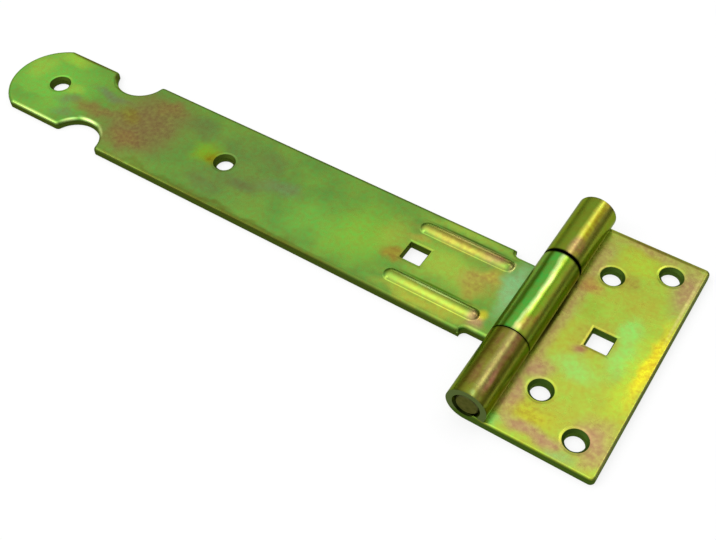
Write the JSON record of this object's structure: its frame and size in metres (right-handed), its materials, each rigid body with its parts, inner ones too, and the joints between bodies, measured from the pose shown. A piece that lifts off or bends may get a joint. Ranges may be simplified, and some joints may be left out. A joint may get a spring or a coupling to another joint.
{
  "type": "tee hinge",
  "caption": "Flat steel tee hinge: a long strap with a shaped tip swings on a pin held in the rolled knuckles of a short rectangular cross leaf.",
  "frame": {"origin": "middle of the pin's axis, dropped straight down onto the plane of the hinge's back", "axes": "+X from the strap's tip towards the cross leaf, +Y along the pin, +Z out of the front faces"},
  "size_m": [0.2333, 0.0802, 0.012],
  "materials": {
    "strap": "yellow chromate on zinc plating, iridescent green",
    "leaf": "yellow chromate on zinc plating, iridescent yellow-green",
    "pin": "sheared steel rod, dull olive-brown chromate"
  },
  "bodies": {
    "leaf": {"leaf": "leaf", "pin": "pin"},
    "strap": {"strap": "strap"}
  },
  "joints": [
    {"name": "strap_swing", "type": "hinge", "parent": "leaf", "child": "strap", "pos_m": [0, 0, 0.006], "axis": [0, 1, 0], "range_deg": [-62, 188]}
  ]
}
